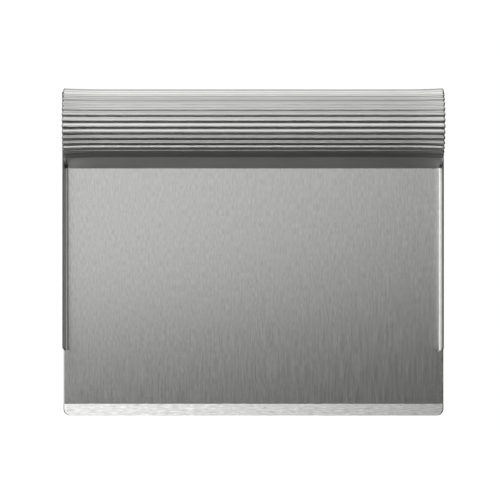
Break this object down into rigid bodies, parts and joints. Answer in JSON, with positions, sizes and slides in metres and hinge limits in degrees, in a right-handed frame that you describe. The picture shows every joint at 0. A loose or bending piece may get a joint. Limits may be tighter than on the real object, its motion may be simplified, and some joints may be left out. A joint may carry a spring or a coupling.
{
  "type": "bench scraper",
  "caption": "Rectangular steel bench scraper with a ground straight edge, low folded-up sides and a ribbed teardrop-section tube grip along the top.",
  "frame": {"origin": "on the plane of the blade's back face, under the middle of the scraper's length and width", "axes": "+X along the cutting edge, +Y from the cutting edge to the grip, +Z out of the blade's front face, on the side where the grip stands"},
  "size_m": [0.1531, 0.1304, 0.0287],
  "materials": {
    "blade_steel": "stainless sheet brushed from grip to cutting edge, with a ground bevel",
    "grip_steel": "satin stainless sheet, rolled with fine ribs along its length"
  },
  "bodies": {
    "root": {"blade": "blade_steel", "grip": "grip_steel"}
  },
  "joints": []
}
